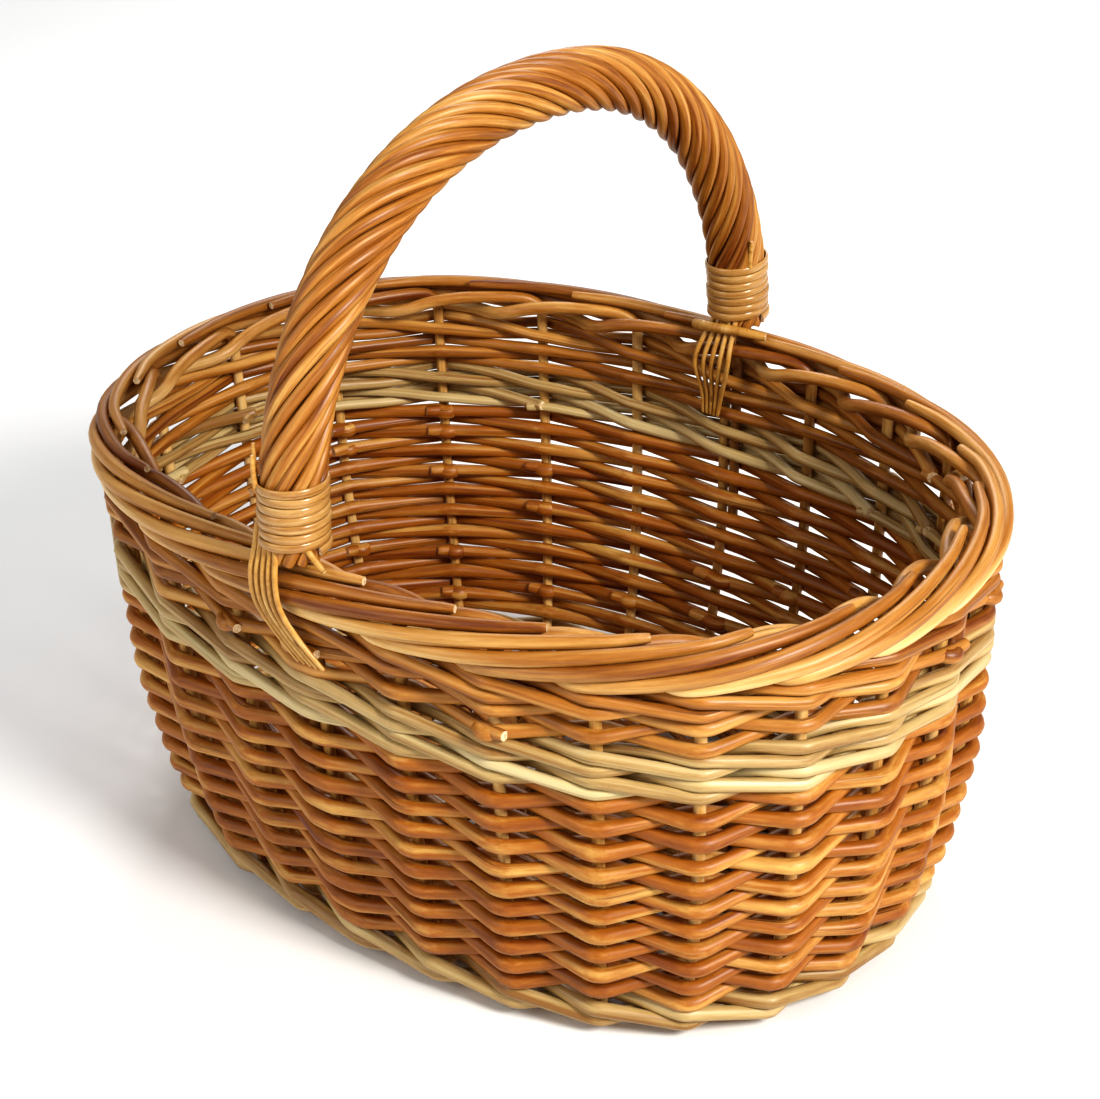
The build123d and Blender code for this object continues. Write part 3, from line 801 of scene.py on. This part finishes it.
def make_tails(name, node, stake, line, side, foot, ends):
    """The roping rods' thin tips, taken down over the border, and the odd ends at the binding."""
    rods = []
    gap = stake_gap(stake - 1)
    for rod in range(TAIL_COUNT):
        spread = rod - (TAIL_COUNT - 1) / 2
        route = []
        for out, up, along, fan in line:
            place = peg_place(stake) + (along + fan * spread * TAIL_SPACING) / gap
            route.append(wall_point(place, BORDER_Z + up, side * out)[:2] + (BORDER_Z + up,))
        rods.append((route, tapered(len(route), TAIL_BUTT, TAIL_TIP)))
    for radius, *points in ends:
        route = [tuple(Vector(foot) + SIDEWAYS * a + ACROSS * b + Vector((0, 0, up)))
                 for a, b, up in points]
        rods.append((route, tapered(len(route), radius, radius * 0.85)))
    make_piece(name, rods, tail_bark, [node], steps=6)


make_stakes()
make_wall()
make_base()
make_roping()
make_binding("near_cane_binding", "near_binding", NEAR_FOOT, bow_point(math.pi - BINDING_AIM))
make_binding("far_cane_binding", "far_binding", FAR_FOOT, bow_point(BINDING_AIM))
make_tails("near_tails", "near_roping_tails", 0, OUTSIDE_TAIL, 1, NEAR_FOOT, NEAR_ENDS)
make_tails("far_tails", "far_roping_tails", 13, INSIDE_TAIL, -1, FAR_FOOT, FAR_ENDS)


# Floor, light and camera

def make_floor():
    bm = bmesh.new()
    bmesh.ops.create_grid(bm, x_segments=2, y_segments=2, size=6.0)
    mesh = bpy.data.meshes.new("floor")
    bm.to_mesh(mesh)
    bm.free()
    n = Nodes("floor_paint")
    space = n.add("ShaderNodeTexCoord").outputs["Object"]
    n.put(n.shader.inputs["Base Color"], n.ramp(n.noise(space, 3.0), (0.3, 0.86), (0.7, 0.89)))
    n.shader.inputs["Roughness"].default_value = 0.9
    mesh.materials.append(n.material)
    floor = bpy.data.objects.new("floor", mesh)
    bpy.context.scene.collection.objects.link(floor)


def add_light(name, place, size, power, colour=(1.0, 1.0, 1.0)):
    lamp = bpy.data.lights.new(name, "AREA")
    lamp.shape = "DISK"
    lamp.size = size
    lamp.energy = power
    lamp.color = colour
    holder = bpy.data.objects.new(name, lamp)
    holder.location = place
    holder.rotation_mode = "QUATERNION"
    holder.rotation_quaternion = (Vector((0, 0, 0.12)) - Vector(place)).to_track_quat("-Z", "Y")
    bpy.context.scene.collection.objects.link(holder)


def set_up_light():
    world = bpy.data.worlds.new("studio")
    world.use_nodes = True
    sky = world.node_tree.nodes["Background"]
    sky.inputs[0].default_value = (1.0, 1.0, 1.0, 1.0)
    sky.inputs[1].default_value = 0.36
    bpy.context.scene.world = world
    add_light("key", (1.5, -0.25, 1.25), 0.5, 30.0, (1.0, 0.98, 0.94))
    add_light("fill", (-0.6, -1.6, 1.1), 1.2, 7.0)
    add_light("rim", (-0.9, 1.2, 1.3), 0.9, 9.0)
    bpy.context.scene.view_settings.view_transform = "Standard"
    bpy.context.scene.view_settings.look = "High Contrast"


def place_camera():
    azimuth, elevation, roll = math.radians(40.3), math.radians(28.98), math.radians(-1.99)
    target, distance = Vector((-0.0104, 0.0226, 0.1266)), 1.0302
    back = Vector((math.sin(azimuth) * math.cos(elevation), -math.cos(azimuth) * math.cos(elevation),
                   math.sin(elevation)))
    lens = bpy.data.cameras.new("camera")
    lens.sensor_width = 36.0
    lens.lens = 75.7
    lens.clip_start = 0.01
    camera = bpy.data.objects.new("camera", lens)
    camera.location = target + back * distance
    camera.rotation_mode = "QUATERNION"
    facing = (-back).to_track_quat("-Z", "Y")
    camera.rotation_quaternion = facing @ Matrix.Rotation(roll, 3, "Z").to_quaternion()
    bpy.context.scene.collection.objects.link(camera)
    bpy.context.scene.camera = camera


make_floor()
set_up_light()
place_camera()
